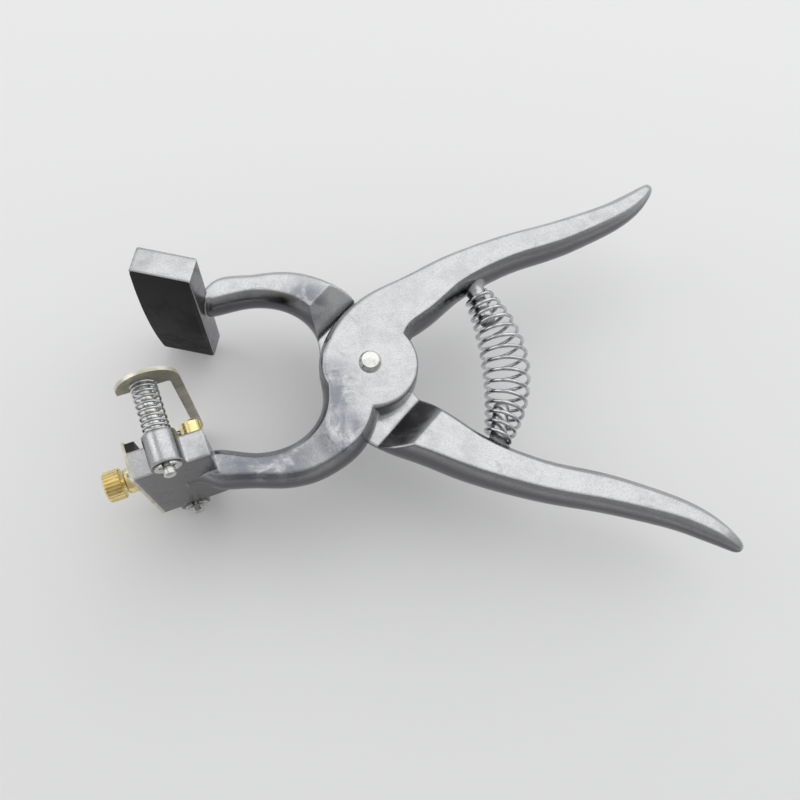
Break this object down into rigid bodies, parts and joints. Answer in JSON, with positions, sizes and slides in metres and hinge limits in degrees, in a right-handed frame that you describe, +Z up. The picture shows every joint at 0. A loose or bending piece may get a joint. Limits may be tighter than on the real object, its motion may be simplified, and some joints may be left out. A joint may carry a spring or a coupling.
{
  "type": "ear marking plier",
  "caption": "Livestock ear marking plier with die-cast levers, a crowned rubber pad facing a screw-clamped die holder, and a sprung release plate.",
  "frame": {"origin": "centre of the underside of the bounding box, the tool lying on its side with the jaws open", "axes": "+X from the jaws to the handles, +Y towards the die lever's handle, +Z up along the pivot"},
  "size_m": [0.2297, 0.1616, 0.0728],
  "materials": {
    "cast_aluminium": "satin",
    "bright_steel": "bright",
    "spring_steel": "bright",
    "khaki_plated_steel": "satin",
    "blackened_steel": "satin",
    "brass": "satin",
    "black_rubber": "matte"
  },
  "bodies": {
    "die_lever_body": {"die_lever": "cast_aluminium", "pivot_pin": "bright_steel", "handle_spring": "spring_steel", "release_spring_near": "spring_steel", "release_spring_far": "spring_steel", "front_plate": "khaki_plated_steel", "front_plate_screws": "bright_steel", "clamp_bush": "brass", "stop_stud": "brass"},
    "pad_lever_body": {"pad_lever": "cast_aluminium", "rubber_pad": "black_rubber"},
    "release_body": {"release_plate": "khaki_plated_steel", "guide_pin_near": "bright_steel", "guide_pin_far": "bright_steel", "retaining_clip_near": "bright_steel", "retaining_clip_far": "bright_steel"},
    "clamp_body": {"clamp_bar": "blackened_steel"},
    "thumb_screw_body": {"thumb_screw": "brass"}
  },
  "joints": [
    {"name": "main_pivot", "type": "hinge", "parent": "die_lever_body", "child": "pad_lever_body", "pos_m": [-0.01762, 0, 0.0364], "axis": [0, 0, 1], "range_deg": [0, 30], "stiffness_Nm_per_rad": 3, "springref_deg": -34.38, "deforming": ["handle_spring"]},
    {"name": "plate_slide", "type": "slide", "parent": "die_lever_body", "child": "release_body", "axis": [-0.2756, 0.9613, 0], "range_m": [-0.0066, 0], "stiffness_N_per_m": 400, "springref_m": 0.004, "deforming": ["release_spring_near", "release_spring_far"]},
    {"name": "clamp_slide", "type": "slide", "parent": "die_lever_body", "child": "clamp_body", "axis": [0.9613, 0.2756, 0], "range_m": [0, 0.00089]},
    {"name": "thumb_turn", "type": "hinge", "parent": "clamp_body", "child": "thumb_screw_body", "pos_m": [-0.10782, -0.03706, 0.0364], "axis": [0.9613, 0.2756, 0], "range_deg": [0, 460]}
  ],
  "couplings": [
    {"joint": "plate_slide", "follows": "main_pivot", "m_per_rad": -0.012604},
    {"joint": "thumb_turn", "follows": "clamp_slide", "rad_per_m": 8976}
  ]
}
